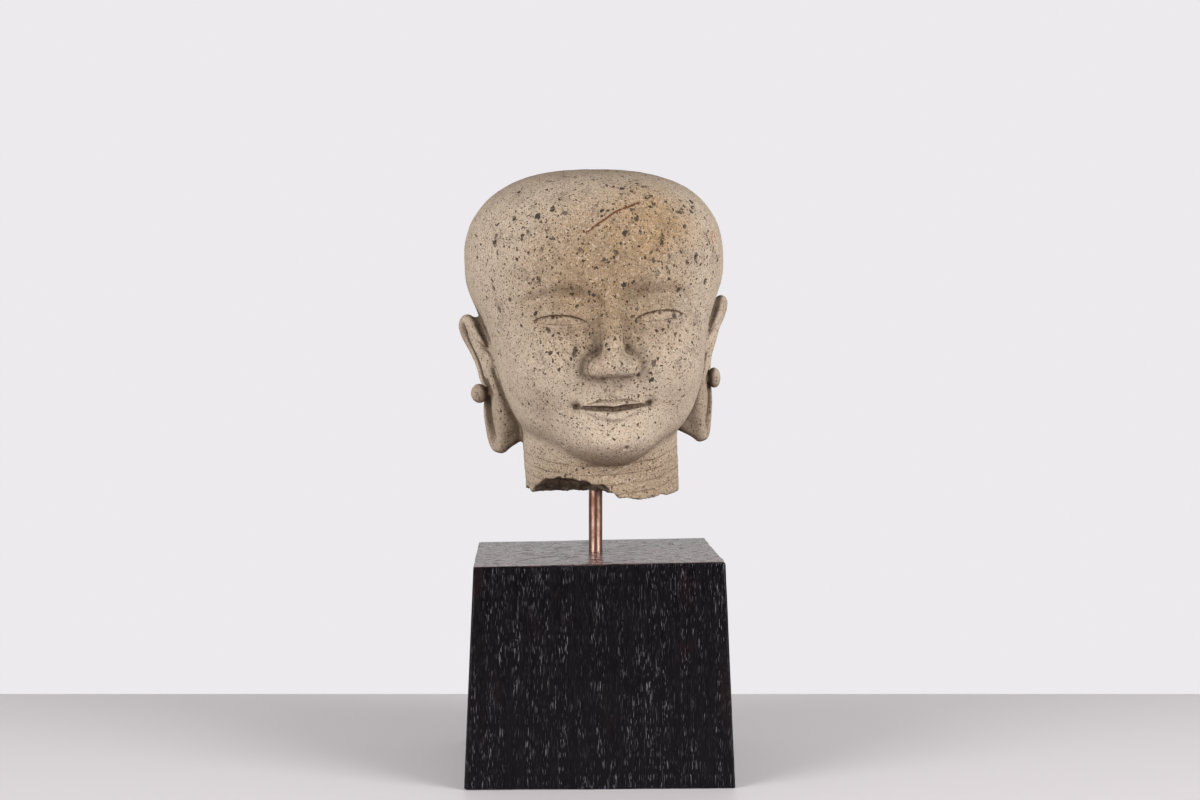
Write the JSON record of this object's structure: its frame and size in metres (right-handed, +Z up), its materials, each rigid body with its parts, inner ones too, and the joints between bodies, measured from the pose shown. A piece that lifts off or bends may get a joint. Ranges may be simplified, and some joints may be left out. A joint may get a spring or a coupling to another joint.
{
  "type": "stone buddha head on a plinth",
  "caption": "Carved stone Buddha head, shaven and long-lobed, broken off at the neck and held by a copper-coloured rod above a tapered black wooden plinth.",
  "frame": {"origin": "centre of the plinth's underside, on the surface it stands on", "axes": "+Z up, the face looks along -Y and is turned a few degrees towards +X"},
  "size_m": [0.1988, 0.2131, 0.4331],
  "materials": {
    "stone": "matt cream-tan carved stone, pitted and flecked with dark grains, with ochre stains",
    "rod": "copper-coloured drawn metal, satin",
    "plinth": "black-stained open-grained wood, satin"
  },
  "bodies": {
    "root": {"head": "stone", "rod": "rod", "plinth": "plinth"}
  },
  "joints": []
}
